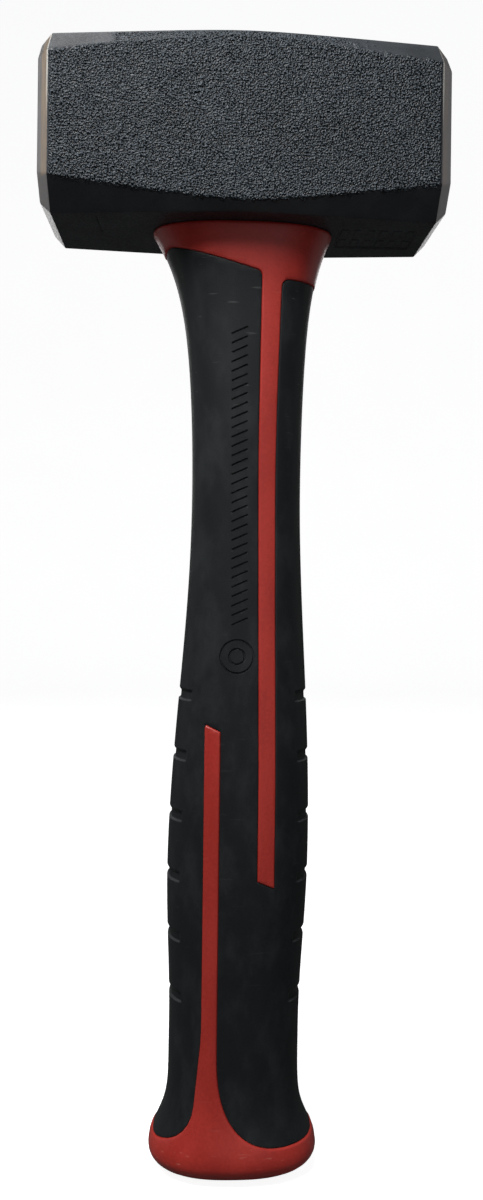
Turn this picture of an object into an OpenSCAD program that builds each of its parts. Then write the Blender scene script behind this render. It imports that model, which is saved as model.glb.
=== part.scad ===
// Club hammer: a forged steel head with two octagonal striking faces, on a moulded
// handle with a fibreglass core and a soft grip. All sizes are in millimetres.
// The origin is the middle of the butt's flat end. +Z runs up the handle to the head,
// X runs along the head, and Y runs across the thickness of the handle.

/* [Head] */
// Length between the two striking faces
head_len = 105; // [95:1:120]
// Width across the two cheeks
head_w = 46; // [42:1:52]
// Height along the handle
head_h = 46; // [40:1:54]
// Chamfer of the four long edges at the middle of the head
mid_chamfer = 2.6; // [2:0.1:4]
// Chamfer of the four long edges at the striking faces
end_chamfer = 7.5; // [5:0.1:10]
// Length over which the chamfers round into each other at the middle
chamfer_round = 24; // [2:1:40]
// Bevel ground around each striking face
face_bevel = 2.9; // [1:0.1:4]

/* [Eye] */
// Length of the eye at its waist, along the head
eye_len = 29; // [27:0.5:32]
// Width of the eye at its waist, across the head
eye_w = 19; // [17:0.5:22]
// How far each side of the eye opens out from its waist to its mouths
eye_flare = 1.2; // [0.4:0.1:1.6]
// Depth of the resin's surface below the top of the head
resin_drop = 1; // [0.2:0.1:3]

/* [Core] */
// Long side of the fibreglass rod's section
core_len = 19; // [16:0.5:20]
// Short side of the fibreglass rod's section
core_w = 13; // [10:0.5:13.5]
// Height of the rod's lower end above the butt
core_start = 14; // [8:1:30]

/* [Handle] */
// Length of the handle from the butt to the underside of the head
handle_len = 250; // [235:1:280]
// Width of the collar where it meets the head
collar_w = 48.4; // [42:0.2:50]
// Thickness of the collar where it meets the head
collar_t = 28.4; // [26:0.2:34]
// Height of the neck, the narrowest place
neck_z = 181; // [165:1:195]
// Width of the neck
neck_w = 29.2; // [28:0.2:34]
// Thickness of the neck
neck_t = 23; // [22:0.2:28]
// Height of the belly, the widest place of the grip
belly_z = 82; // [70:1:100]
// Width of the belly
belly_w = 37.8; // [34:0.2:42]
// Thickness of the belly
belly_t = 29.5; // [26:0.2:34]
// Height of the waist between the belly and the butt
waist_z = 38; // [28:1:42]
// Width of the waist
waist_w = 34.9; // [30:0.1:36]
// Thickness of the waist
waist_t = 27.4; // [24:0.2:30]
// Width of the butt
butt_w = 44.6; // [38:0.2:50]
// Thickness of the butt
butt_t = 34.6; // [30:0.2:40]
// Height of the butt's widest place
butt_z = 6; // [5:0.2:9]
// How far the butt's lower edge rounds in on each side
butt_round = 10.8; // [4:0.1:12]
// Sideways bow of the handle towards +X
bow = 1.8; // [0:0.1:3]
// Height at which the bow is largest
bow_z = 165; // [140:1:200]
// Exponent of the handle's section: 2 is an ellipse, and more is squarer
squareness = 2.5; // [2:0.1:3.5]

/* [Grip] */
// Thickness of the soft grip
grip_t = 2.1; // [1.6:0.1:2.4]
// Left edge of the upper stripe
upper_stripe_x = 5.5; // [3:0.1:7]
// Width of the upper stripe
upper_stripe_w = 4.4; // [3:0.1:6]
// Height of the upper stripe's lower end
upper_stripe_z = 78.8; // [60:0.2:110]
// Left edge of the lower stripe
lower_stripe_x = -8.7; // [-11:0.1:-6]
// Width of the lower stripe
lower_stripe_w = 4.1; // [3:0.1:6]
// Height of the lower stripe's upper end
lower_stripe_z = 119.2; // [100:0.2:150]
// Height of the lowest notch
notch_z = 47.5; // [44:0.5:52]
// Distance from one notch to the next
notch_pitch = 15.8; // [14:0.1:17]
// Number of notches down each side
notch_count = 6; // [3:1:6]
// Height of a notch at the surface
notch_h = 3.2; // [2:0.1:4]
// Depth of a notch
notch_d = 0.9; // [0.4:0.1:1.2]

/* [Hidden] */

head_top = handle_len + head_h;

// Sections of the handle as [width, thickness]
collar = [collar_w, collar_t];
neck = [neck_w, neck_t];
belly = [belly_w, belly_t];
waist = [waist_w, waist_t];
butt = [butt_w, butt_t];

// Share of the collar's flare that starts at the neck; the rest is the fillet at the head
slow_flare = 0.42;
// How late the butt opens out below the waist
late_butt = 2.9;

// Points around each ring of the outside and of the inner tube
ring_points = 48;
tube_points = 24;
// Points round each end of the rod's section
oval_points = 16;
// Steps from the middle of the head to each end
chamfer_steps = 8;

// Stretch of the collar under the head with closer rings
collar_stretch = 10;
// Distance past every outline, for cutters that run off the part
far = 40;
// Top left corner of the soft panels, which slopes down to the upper stripe
left_panel_x = -20.8;
left_panel_z = handle_len - 5;
panel_slope = 0.29;
// Top of the soft panel to the right of the upper stripe
right_panel_z = handle_len - 14.3;
// Radius of the panels' top corners
panel_corner = 2;
// Slope of the stripes' ends
stripe_end_slope = 0.45;
// How far the upper stripe leans to -X, the heights between which it does so, and how far
// its left and right edges have come back at its top
stripe_lean = 0.9;
lean_back = [0.4, 1.2];
lean_top_z = 190;
lean_foot_z = 105;
// Left panel's lower end: where its side starts to lean out, and its lower corner
left_lean_z = 38;
left_corner = [-11.1, 13.4];
left_corner_r = 11;
left_corner_slope = 0.39;
// Right panel's lower end: a quarter of a squarish oval, as [width, height]
right_lobe = [20.7, 26];
right_lobe_z = 36;
lobe_power = 0.67;

// Shallow flat pad on the underside of the head
pad_x = 25.6;
pad_len = 21;
pad_w = 17;
pad_d = 0.4;

// ---------- Functions ----------

// Evenly spaced values from a up to, but not including, b
function steps(a, b, count) = [for (i = [0 : count - 1]) a + (b - a) * i / count];

// Smooth change from 0 to 1
function ease(t) = (1 - cos(180 * t)) / 2;

function blend(a, b, t) = a + (b - a) * t;

// Section of the handle at height z, as [width, thickness]
function section(z) =
    z >= neck_z ? flared((z - neck_z) / (handle_len - neck_z))
    : z >= belly_z ? blend(belly, neck, ease((z - belly_z) / (neck_z - belly_z)))
    : z >= waist_z ? blend(waist, belly, ease((z - waist_z) / (belly_z - waist_z)))
    : z >= butt_z ? blend(waist, butt, ease(pow((waist_z - z) / (waist_z - butt_z), late_butt)))
    : butt - 2 * butt_round * (1 - sqrt(1 - pow(1 - z / butt_z, 2))) * [1, 1];

// Section above the neck, where t runs from 0 at the neck to 1 at the head
function flared(t) = blend(neck, collar, slow_flare * pow(t, 2) + (1 - slow_flare) * pow(t, 6));

// Sideways place of the handle's middle at height z: straight again at both ends
function bowed(z) =
    z < bow_z ? bow * pow(sin(90 * z / bow_z), 3)
    : bow * (1 - pow((z - bow_z) / (handle_len - bow_z), 4));

// Keeps the sign of a number while raising its size to a power
function raised(a, power) = sign(a) * pow(abs(a), power);

// Turns a circle's sine or cosine into that of the handle's squarer section
function shaped(a) = raised(a, 2 / squareness);

// Ring of points around the handle at height z, moved inwards by inset
function ring(z, inset, count) = [
    for (a = steps(0, 360, count))
        let (half = section(z) / 2 - inset * [1, 1])
        [bowed(z) + half.x * shaped(cos(a)), half.y * shaped(sin(a)), z]
];

// Chamfer of the head's long edges at distance x from the middle
function chamfer(x) =
    let (r = chamfer_round / 2, end = head_len / 2 - face_bevel)
    blend(mid_chamfer, end_chamfer, (norm([x, r]) - r) / (norm([end, r]) - r));

// Chamfered square across the head at x, with half sizes hy and hz
function octagon(x, hy, hz, cut) = [
    for (p = [[hy, hz - cut], [hy - cut, hz]], sy = [-1, 1], sz = [-1, 1])
        [x, sy * p.x, handle_len + head_h / 2 + sz * p.y]
];

// Points of an oval arc, from angle a0 to a1; a power below 1 makes it squarer
function arc(centre, radii, a0, a1, count, power = 1) = [
    for (i = [0 : count])
        let (a = blend(a0, a1, i / count))
        centre + [radii.x * raised(cos(a), power), radii.y * raised(sin(a), power)]
];

// Outline with two straight sides and two round ends
function oval(len, w) =
    let (r = w / 2, shift = [(len - w) / 2, 0])
    concat(
        arc(shift, [r, r], -90, 90, oval_points),
        arc(-shift, [r, r], 90, 270, oval_points)
    );

// ---------- Shared shapes ----------

// Tightest solid around a list of points
module wrap(points) {
    hull()
        polyhedron(points = points, faces = [for (k = [2 : len(points) - 1]) [k - 2, k - 1, k]]);
}

// Solid through rings around the handle at each of the given heights
module loft(levels, inset, count) {
    for (i = [0 : len(levels) - 2])
        wrap(concat(ring(levels[i], inset, count), ring(levels[i + 1], inset, count)));
}

// Whole outside of the handle
module handle_body() {
    loft(concat(
        [for (a = [0 : 15 : 75]) butt_z * (1 - cos(a))],
        steps(butt_z, waist_z, 9),
        steps(waist_z, belly_z, 7),
        steps(belly_z, neck_z, 12),
        steps(neck_z, handle_len - collar_stretch, 8),
        steps(handle_len - collar_stretch, handle_len, 5),
        [handle_len]
    ), 0, ring_points);
}

// What is left of the handle under the soft grip
module inner_tube() {
    loft(concat(
        steps(butt_z, waist_z, 4),
        steps(waist_z, belly_z, 3),
        steps(belly_z, neck_z, 6),
        steps(neck_z, handle_len, 7),
        [handle_len]
    ), grip_t, tube_points);
}

// Runs a front outline through the whole thickness of the handle
module through() {
    rotate([90, 0, 0])
        linear_extrude(height = 2 * far, center = true)
            children();
}

// Front outline of the collar and the upper stripe
module collar_outline() {
    left = upper_stripe_x;
    right = left + upper_stripe_w;
    inner_z = left_panel_z - panel_slope * (left - left_panel_x);
    offset(r = -panel_corner)
        offset(delta = panel_corner)
            polygon([
                [-far, left_panel_z - far],
                [left_panel_x, left_panel_z - far],
                [left_panel_x, left_panel_z],
                [left - stripe_lean + lean_back.x, inner_z],
                [left - stripe_lean, lean_top_z],
                [left, lean_foot_z],
                [left, upper_stripe_z],
                [right, upper_stripe_z - stripe_end_slope * upper_stripe_w],
                [right, lean_foot_z],
                [right - stripe_lean, lean_top_z],
                [right - stripe_lean + lean_back.y, right_panel_z],
                [far, right_panel_z],
                [far, handle_len + 1],
                [-far, handle_len + 1]
            ]);
}

// Front outline of the butt and the lower stripe
module butt_outline() {
    left = lower_stripe_x;
    right = lower_stripe_x + lower_stripe_w;
    offset(r = -left_corner_r)
        offset(delta = left_corner_r)
            polygon(concat(
                [
                    left_corner - (far + left_corner.x) * [1, left_corner_slope],
                    left_corner,
                    [left, left_lean_z],
                    [left, lower_stripe_z],
                    [right, lower_stripe_z - stripe_end_slope * lower_stripe_w]
                ],
                arc([right + right_lobe.x, right_lobe_z], right_lobe, 180, 270, 16, lobe_power),
                [[far, right_lobe_z - right_lobe.y], [far, -far], [-far, -far]]
            ));
}

// Everything of the handle that is hard plastic down to the surface
module hard_zone() {
    through() collar_outline();
    through() butt_outline();
}

// Cross notches down both narrow sides, each wider at its mouth than at its floor
module notches() {
    for (i = [0 : notch_count - 1], side = [-1, 1]) {
        z = notch_z + i * notch_pitch;
        floor_x = bowed(z) + side * (section(z).x / 2 - notch_d);
        mouth_x = floor_x + side * 2 * notch_d;
        wrap([
            for (y = [-far, far], s = [-1, 1])
                each [[floor_x, y, z + s * notch_h / 5], [mouth_x, y, z + s * notch_h * 4 / 5]]
        ]);
    }
}

// Eye of the head between its two mouths, narrowest half way up
module eye_shape() {
    translate([0, 0, handle_len + head_h / 2])
        for (half = [0, 1])
            mirror([0, 0, half]) eye_half(head_h / 2);
}

// Upper half of the eye, which opens out on every side as it rises
module eye_half(h) {
    r0 = eye_w / 2;
    r1 = r0 + eye_flare;
    reach = (eye_len - eye_w) / 2;
    for (side = [-1, 1])
        translate([side * reach, 0, 0]) cylinder(h = h, r1 = r0, r2 = r1, $fn = 64);
    rotate([90, 0, 90])
        linear_extrude(height = 2 * reach, center = true)
            polygon([[-r0, 0], [r0, 0], [r1, h], [-r1, h]]);
}

// Fibreglass rod between two heights
module rod(z0, z1) {
    translate([0, 0, z0])
        linear_extrude(height = z1 - z0) polygon(oval(core_len, core_w));
}

// ---------- Parts ----------

// Forged steel head
module hammer_head() {
    end = head_len / 2 - face_bevel;
    inner_cut = end_chamfer - (2 - sqrt(2)) * face_bevel;
    color("dimgray")
        difference() {
            wrap([
                each [for (i = [-chamfer_steps : chamfer_steps])
                    let (x = end * i / chamfer_steps)
                    each octagon(x, head_w / 2, head_h / 2, chamfer(x))],
                each [for (x = [-head_len / 2, head_len / 2])
                    each octagon(x, head_w / 2 - face_bevel, head_h / 2 - face_bevel, inner_cut)]
            ]);
            eye_shape();
            translate([pad_x, -pad_w / 2, handle_len - pad_d])
                cube([pad_len, pad_w, 2 * pad_d]);
        }
}

// Hard plastic of the handle: collar, stripes, butt, and the tube under the grip
module handle_jacket() {
    color("firebrick")
        difference() {
            intersection() {
                handle_body();
                union() {
                    inner_tube();
                    hard_zone();
                }
            }
            rod(core_start, handle_len + 1);
        }
}

// Soft panels around the tube
module grip() {
    color([0.12, 0.13, 0.13])
        difference() {
            handle_body();
            inner_tube();
            hard_zone();
            notches();
        }
}

// Rod that carries the load from the hand to the head
module fibreglass_core() {
    color("palegoldenrod") rod(core_start, head_top - resin_drop);
}

// Resin that fills the eye around the core
module eye_resin() {
    color("darkgoldenrod")
        difference() {
            eye_shape();
            rod(handle_len - 1, head_top + 1);
            translate([-far, -far, head_top - resin_drop]) cube([2 * far, 2 * far, far]);
        }
}

hammer_head();
handle_jacket();
grip();
fibreglass_core();
eye_resin();
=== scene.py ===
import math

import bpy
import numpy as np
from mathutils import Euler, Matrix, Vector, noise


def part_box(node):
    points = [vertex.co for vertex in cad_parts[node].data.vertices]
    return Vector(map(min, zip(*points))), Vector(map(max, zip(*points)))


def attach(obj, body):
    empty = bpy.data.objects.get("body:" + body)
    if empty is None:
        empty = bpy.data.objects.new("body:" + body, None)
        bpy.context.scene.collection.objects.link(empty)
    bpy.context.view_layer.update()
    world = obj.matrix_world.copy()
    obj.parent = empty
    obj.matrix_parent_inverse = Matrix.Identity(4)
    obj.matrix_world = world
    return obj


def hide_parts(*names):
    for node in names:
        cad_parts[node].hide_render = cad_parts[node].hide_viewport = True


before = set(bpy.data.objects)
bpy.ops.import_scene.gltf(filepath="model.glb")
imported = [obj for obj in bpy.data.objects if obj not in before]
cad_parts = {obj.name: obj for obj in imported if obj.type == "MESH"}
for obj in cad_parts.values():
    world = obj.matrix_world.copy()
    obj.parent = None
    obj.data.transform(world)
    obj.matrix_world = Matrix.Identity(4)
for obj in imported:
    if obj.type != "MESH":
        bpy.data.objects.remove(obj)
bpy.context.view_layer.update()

# The looks of a club hammer: a forged head with pebbled cheeks and ground striking faces,
# on a red and black moulded handle. Shapes are worked out in millimetres in the row frame,
# and turned into metres when a mesh is made.

MM = 0.001


def frame_box(node):
    """Lowest and highest corner of a CAD node, in millimetres."""
    low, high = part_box(node)
    return np.array(low) / MM, np.array(high) / MM


# ---------- Sizes in millimetres ----------

HEAD_LOW, HEAD_HIGH = frame_box("hammer_head")
JACKET_LOW, JACKET_HIGH = frame_box("handle_jacket")
CORE_LOW, CORE_HIGH = frame_box("fibreglass_core")
RESIN_LOW, RESIN_HIGH = frame_box("eye_resin")

HEAD_HALF = (HEAD_HIGH - HEAD_LOW) / 2
HEAD_MIDDLE_Z = (HEAD_LOW[2] + HEAD_HIGH[2]) / 2
UNDERSIDE_Z = HEAD_LOW[2]
HANDLE_LEN = JACKET_HIGH[2]
CORE_HALF = (CORE_HIGH - CORE_LOW)[:2] / 2

# Sections of the handle as [width, thickness], from the butt up
BUTT = np.array([44.6, JACKET_HIGH[1] - JACKET_LOW[1]])
WAIST = np.array([34.9, 27.4])
BELLY = np.array([37.8, 29.5])
NECK = np.array([29.2, 23.0])
COLLAR = np.array([JACKET_HIGH[0] - JACKET_LOW[0], 28.4])
# Heights of those sections. The collar's is HANDLE_LEN
BUTT_Z = 6.0
WAIST_Z = 38.0
BELLY_Z = 82.0
NECK_Z = 181.0
# Rounding of the butt's lower edge and of the collar's rim
BUTT_ROUND = 10.8
RIM_ROUND = 0.9
# How late the butt widens, and the share of the collar's flare that starts early
LATE_BUTT = 2.9
SLOW_FLARE = 0.42
# Power of the section's oval: 2 is a true oval, and more is squarer
SQUARENESS = 2.5
# How far the handle bows sideways, and the height where it bows most
BOW = 1.8
BOW_Z = 165.0

# Thickness of the soft grip
GRIP_T = 2.1
# Cross notches: middle of the lowest, spacing, number on each side, and depth
NOTCH_Z = 47.5
NOTCH_PITCH = 15.8
NOTCH_COUNT = 6
NOTCH_DEPTH = 0.55
# Half heights of a notch at its mouth and of its floor, above and below its middle
NOTCH_TOP = (0.6, 1.5)
NOTCH_BOTTOM = (1.25, 1.6)
# How far a notch reaches in from the front outline, and where its end wall has run out
NOTCH_REACH = (3.0, 3.6)
# Half height of the lighter line on a notch's lower lip, partly wear and partly a painted
# highlight where the lip faces up to the light, and where it has run out
NOTCH_LIP = (0.15, 0.35)
# Heights of the rings of points from the middle of each notch
NOTCH_ROWS = (-1.8, -1.6, -1.43, -1.25, -0.9, 0.3, 0.6, 0.9, 1.2, 1.5, 1.75)

# Edges of the two colours: the hard stripes stand slightly proud of the soft panels
PROUD = 0.22
EDGE_ROUND = 0.4
# First row of points beside the edge, for its rounding and its lighter line, partly wear and
# partly painted highlight
EDGE_STEP = 0.12
# Slope of the cut ends of both stripes
STRIPE_SLOPE = 0.45
# Points round each ring of the handle, and the fine steps that its outline is measured with
TURNS = 120
OUTLINE_STEPS = 14400
# Turn round the handle's section at which the middle of the front lies
FRONT_TURN = 270

# Chamfer of the head's long edges in the middle and at the ends, and how softly it widens
MID_CHAMFER = 2.6
END_CHAMFER = 7.5
CHAMFER_ROUND = 24.0
# Ground bevel round each striking face
FACE_BEVEL = 2.9
# Height of the forged skin's pebbles, and how far from the middle they may wrap over the top
SKIN_DEPTH = 0.25
SKIN_REACH = 34
# Eye at its waist, its flare and rounded edge at both mouths, and the points round its rings
EYE_LEN = 29.0
EYE_W = 19.0
EYE_FLARE = 1.2
EYE_EDGE = 0.9
EYE_COUNT = 96
# Pad in the underside as [left end, right end, half width], with the rounding of its corners
PAD = (25.6, 46.6, 8.5)
PAD_DEPTH = 0.4
PAD_ROUND = 1.5
# Blocks that stand in the pad in two rows, and their gap to its edge
BLOCK_HEIGHT = 0.25
BLOCK_HALF = (0.95, 2.6)
BLOCK_COLUMNS = 6
BLOCK_MARGIN = 0.4
# Scratch in the underside
SCRATCH = ((-38.0, -14.0), (-37.8, -1.5))
SCRATCH_HALF = 0.3
SCRATCH_DEPTH = 0.2
# How far the resin's top sags between the rod and the eye's wall
RESIN_SAG = 0.7

# Stands for a distance to something that isn't near
FAR = 9.0
# Tolerance for a point that lies on a flat of the head
NEAR = 0.001
# Edges that turn by more than this many degrees stay sharp
SHARP_ANGLE = 40


# ---------- Small helpers ----------


def ease(t):
    """Smooth change from 0 to 1."""
    return (1 - np.cos(np.pi * np.clip(t, 0, 1))) / 2


def ramp(value, start, end):
    """0 before start, 1 after end, and smooth in between."""
    return ease((np.asarray(value, float) - start) / (end - start))


def blend(a, b, t):
    t = np.asarray(t, float)[..., None]
    return a + (b - a) * t


def signed_power(value, power):
    return np.sign(value) * np.abs(value) ** power


def bend(before, corner, after, radius, steps):
    """Points that round a corner of a path."""
    before, corner, after = (np.array(p, float) for p in (before, corner, after))
    to_before = before - corner
    to_after = after - corner
    len_before = np.linalg.norm(to_before)
    len_after = np.linalg.norm(to_after)
    turn = np.pi - math.acos(np.clip(to_before @ to_after / (len_before * len_after), -1, 1))
    reach = min(radius * math.tan(turn / 2), 0.49 * len_before, 0.49 * len_after)
    start = corner + to_before / len_before * reach
    end = corner + to_after / len_after * reach
    u = np.linspace(0, 1, steps + 1)[:, None]
    return (1 - u) ** 2 * start + 2 * u * (1 - u) * corner + u**2 * end


def distance_to(outline, points):
    """Signed distance from points to a closed outline: negative inside."""
    start = np.asarray(outline, float)
    end = np.roll(start, -1, 0)
    best = np.full(len(points), np.inf)
    inside = np.zeros(len(points), bool)
    for a, b in zip(start, end):
        step = b - a
        square = step @ step
        if square == 0:
            continue
        t = np.clip(((points - a) @ step) / square, 0, 1)
        best = np.minimum(best, np.linalg.norm(points - a - t[:, None] * step, axis=1))
        crosses = (a[1] > points[:, 1]) != (b[1] > points[:, 1])
        if step[1]:
            crossing_x = a[0] + (points[:, 1] - a[1]) * step[0] / step[1]
            inside ^= crosses & (points[:, 0] < crossing_x)
    return np.where(inside, -best, best)


def edge_drop(distance, radius):
    """How far a rounded edge lies below its surface, at a distance in from the edge."""
    d = np.clip(radius - distance, 0, radius)
    return radius - np.sqrt(radius**2 - d**2)


# ---------- Sheets: triangles that can be refined and cut along contours ----------


def edge_keys(tris, size):
    """One whole number for each side of each triangle, the same in both directions."""
    pairs = np.sort(tris[:, [0, 1, 1, 2, 2, 0]].reshape(-1, 2), 1)
    return pairs[:, 0] * size + pairs[:, 1]


class Sheet:
    """Triangles over points. Points hold whatever values the surface is worked out from."""

    def __init__(self, points, tris):
        self.points = np.asarray(points, float)
        self.tris = np.asarray(tris, int)

    @classmethod
    def grid(cls, points):
        """Sheet over a rows x columns array of points."""
        rows, columns = points.shape[:2]
        index = np.arange(rows * columns).reshape(rows, columns)
        a, b = index[:-1, :-1].ravel(), index[:-1, 1:].ravel()
        c, d = index[1:, 1:].ravel(), index[1:, :-1].ravel()
        tris = np.concatenate([np.stack([a, b, c], 1), np.stack([a, c, d], 1)])
        return cls(points.reshape(rows * columns, -1), tris)

    def edges(self):
        """Every edge once, as pairs with the lower point first."""
        keys = np.unique(edge_keys(self.tris, len(self.points)))
        return np.stack([keys // len(self.points), keys % len(self.points)], 1)

    def split(self, edges, places):
        """Adds a point on each edge, at places from 0 to 1 along it, and splits its triangles."""
        if not len(edges):
            return
        t = np.asarray(places, float)[:, None]
        added = self.points[edges[:, 0]] * (1 - t) + self.points[edges[:, 1]] * t
        first = len(self.points)
        self.points = np.concatenate([self.points, added])
        made = {(int(a), int(b)): first + k for k, (a, b) in enumerate(edges)}
        keys = edges[:, 0] * len(self.points) + edges[:, 1]
        sides = edge_keys(self.tris, len(self.points)).reshape(-1, 3)
        touched = np.isin(sides, keys).any(1)
        pieces = []
        for a, b, c in self.tris[touched].tolist():
            pieces += self._pieces(a, b, c, made)
        self.tris = np.concatenate([self.tris[~touched], np.array(pieces, int)])

    def _pieces(self, a, b, c, made):
        ab, bc, ca = (made.get((min(p), max(p))) for p in ((a, b), (b, c), (c, a)))
        cuts = [m for m in (ab, bc, ca) if m is not None]
        if len(cuts) == 3:
            return [(a, ab, ca), (ab, b, bc), (ca, bc, c), (ab, bc, ca)]
        while ab is not None and len(cuts) == 2 or ab is None and len(cuts) == 1:
            a, b, c, ab, bc, ca = b, c, a, bc, ca, ab
        if len(cuts) == 1:
            return [(a, ab, c), (ab, b, c)]
        return [(c, ca, bc), (ca, a, b), (ca, b, bc)]

    def refine(self, wanted):
        """Halves every edge whose two ends are wanted, which makes four of each triangle."""
        edges = self.edges()
        edges = edges[wanted[edges[:, 0]] & wanted[edges[:, 1]]]
        self.split(edges, np.full(len(edges), 0.5))

    def contours(self, field, levels):
        """Splits the triangles along the lines where field is at each of the levels."""
        near = 0.02
        known = field(self.points)
        for level in levels:
            value = known - level
            value[np.abs(value) < near] = 0
            edges = self.edges()
            edges = edges[value[edges[:, 0]] * value[edges[:, 1]] < 0]
            low, high = value[edges[:, 0]], value[edges[:, 1]]
            start, end = self.points[edges[:, 0]], self.points[edges[:, 1]]
            t = low / (low - high)
            # The field isn't straight along an edge, so the first guess is mended once
            here = field(start + (end - start) * t[:, None]) - level
            before = here * low > 0
            t = np.where(
                before,
                t + (1 - t) * here / np.where(before, here - high, 1),
                t * low / np.where(before, 1, low - here),
            )
            self.split(edges, np.clip(t, near, 1 - near))
            known = np.append(known, field(self.points[len(known):]))

    def weld(self, positions):
        """Joins points that share a position."""
        keys = np.round(positions, 4)
        _, first, same = np.unique(keys, axis=0, return_index=True, return_inverse=True)
        self.points = self.points[first]
        self.tris = same.reshape(-1)[self.tris]
        distinct = (self.tris != np.roll(self.tris, 1, 1)).all(1)
        self.tris = self.tris[distinct]


def rim_edges(tris):
    """Edges that only one of the triangles has, in that triangle's direction."""
    keys = edge_keys(tris, tris.max() + 1)
    _, where, count = np.unique(keys, return_index=True, return_counts=True)
    return tris[:, [0, 1, 1, 2, 2, 0]].reshape(-1, 2)[where[count == 1]]


def make_piece(name, points, faces, node, materials, tags=None):
    """Mesh object in metres that stands for a CAD node, and the points that it uses."""
    faces = [tuple(f) for f in faces]
    used = np.unique([i for f in faces for i in f])
    place = np.full(len(points), -1)
    place[used] = np.arange(len(used))
    mesh = bpy.data.meshes.new(name)
    mesh.from_pydata(
        (points[used] * MM).tolist(), [], [tuple(place[i] for i in f) for f in faces]
    )
    for material in materials:
        mesh.materials.append(material)
    if tags is not None:
        mesh.polygons.foreach_set("material_index", np.asarray(tags, np.int32))
    mesh.polygons.foreach_set("use_smooth", np.ones(len(mesh.polygons), bool))
    mesh.set_sharp_from_angle(angle=math.radians(SHARP_ANGLE))
    mesh.update()
    piece = bpy.data.objects.new(name, mesh)
    bpy.context.scene.collection.objects.link(piece)
    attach(piece, "root")
    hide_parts(node)
    return piece, used


def add_value(mesh, name, values):
    """Stores one number per point of a mesh, for a material to read."""
    mesh.attributes.new(name, "FLOAT", "POINT").data.foreach_set(
        "value", np.asarray(values, np.float32)
    )


# ---------- Shape of the handle ----------


def section(z):
    """[width, thickness] of the handle at heights z."""
    z = np.asarray(z, float)
    rise = np.clip((z - NECK_Z) / (HANDLE_LEN - NECK_Z), 0, 1)
    flare = SLOW_FLARE * rise**2 + (1 - SLOW_FLARE) * rise**6
    drop = np.clip((WAIST_Z - z) / (WAIST_Z - BUTT_Z), 0, 1)
    size = blend(blend(WAIST, BELLY, ramp(z, WAIST_Z, BELLY_Z)), NECK, ramp(z, BELLY_Z, NECK_Z))
    size += flare[..., None] * (COLLAR - NECK)
    size += ease(drop**LATE_BUTT)[..., None] * (BUTT - WAIST)
    under = np.clip(1 - z / BUTT_Z, 0, 1)
    rim = np.clip((z - HANDLE_LEN + RIM_ROUND) / RIM_ROUND, 0, 1)
    rounding = BUTT_ROUND * (1 - np.sqrt(1 - under**2)) + RIM_ROUND * (1 - np.sqrt(1 - rim**2))
    return size - 2 * rounding[..., None]


def bowed(z):
    """Sideways place of the handle's middle at heights z."""
    low = np.sin(np.pi / 2 * np.clip(z / BOW_Z, 0, 1)) ** 3
    high = 1 - np.clip((z - BOW_Z) / (HANDLE_LEN - BOW_Z), 0, 1) ** 4
    return BOW * np.where(z < BOW_Z, low, high)


def round_section(turn):
    """Points round a section of half sizes one, evenly spread for turns in degrees."""
    a = np.radians(np.linspace(0, 360, OUTLINE_STEPS + 1))
    x = signed_power(np.cos(a), 2 / SQUARENESS) * BELLY[0] / BELLY[1]
    y = signed_power(np.sin(a), 2 / SQUARENESS)
    walked = np.append(0, np.cumsum(np.hypot(np.diff(x), np.diff(y))))
    share = np.asarray(turn, float) % 360 / 360 * walked[-1]
    across = np.interp(share, walked, x) * BELLY[1] / BELLY[0]
    return np.stack([across, np.interp(share, walked, y)], 1)


def handle_points(where, depth):
    """Points at a depth under the handle's surface, where holds their turns and heights."""
    z = where[:, 1]
    half = section(z) / 2 - np.asarray(depth, float).reshape(-1, 1)
    place = half * round_section(where[:, 0])
    return np.column_stack([bowed(z) + place[:, 0], place[:, 1], z])


def front_view(where):
    """Places on the handle as seen from the front: sideways place and height."""
    return handle_points(where, 0)[:, [0, 2]]


def rounded_path(corners, radii, steps=6):
    """Closed outline with each corner rounded by its own radius."""
    count = len(corners)
    parts = [
        bend(corners[i - 1], corners[i], corners[(i + 1) % count], radii[i], steps)
        for i in range(count)
    ]
    return np.concatenate(parts)


def collar_outline():
    """Front outline of the collar and the upper stripe."""
    far, corner_x, corner_z = 40.0, -20.8, HANDLE_LEN - 5
    left, foot_z, right_z = 5.5, 78.8, HANDLE_LEN - 14.3
    right, lean, slope = left + 4.4, 0.9, 0.29
    lean_top, lean_foot, lean_back = 190.0, 105.0, (0.4, 1.2)
    corners = [
        (-far, corner_z - far),
        (corner_x, corner_z - far),
        (corner_x, corner_z),
        (left - lean + lean_back[0], corner_z - slope * (left - corner_x)),
        (left - lean, lean_top),
        (left, lean_foot),
        (left, foot_z),
        (right, foot_z - STRIPE_SLOPE * (right - left)),
        (right, lean_foot),
        (right - lean, lean_top),
        (right - lean + lean_back[1], right_z),
        (far, right_z),
        (far, HANDLE_LEN + far),
        (-far, HANDLE_LEN + far),
    ]
    radii = [1, 1, 2.0, 2.0, 900, 900, 0.2, 0.2, 900, 900, 2.4, 1, 1, 1]
    return rounded_path(corners, radii)


def butt_outline():
    """Front outline of the butt and the lower stripe."""
    far, left, right, top_z, lean_z = 40.0, -8.7, -4.6, 119.2, 38.0
    corner, slope = np.array([-11.1, 13.4]), 0.39
    lobe, lobe_z, power = (20.7, 26.0), 36.0, 0.67
    corners = [
        corner - (far + corner[0]) * np.array([1, slope]),
        corner,
        (left, lean_z),
        (left, top_z),
        (right, top_z - STRIPE_SLOPE * (right - left)),
    ]
    turn = np.radians(np.linspace(180, 270, 40))
    side = right + lobe[0] + lobe[0] * signed_power(np.cos(turn), power)
    down = lobe_z + lobe[1] * signed_power(np.sin(turn), power)
    corners += list(np.stack([side, down], 1))
    corners += [(far, lobe_z - lobe[1]), (far, -far), (-far, -far)]
    radii = [1, 11, 80, 0.2, 0.2] + [1] * (len(corners) - 5)
    return rounded_path(corners, radii, 5)


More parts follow.
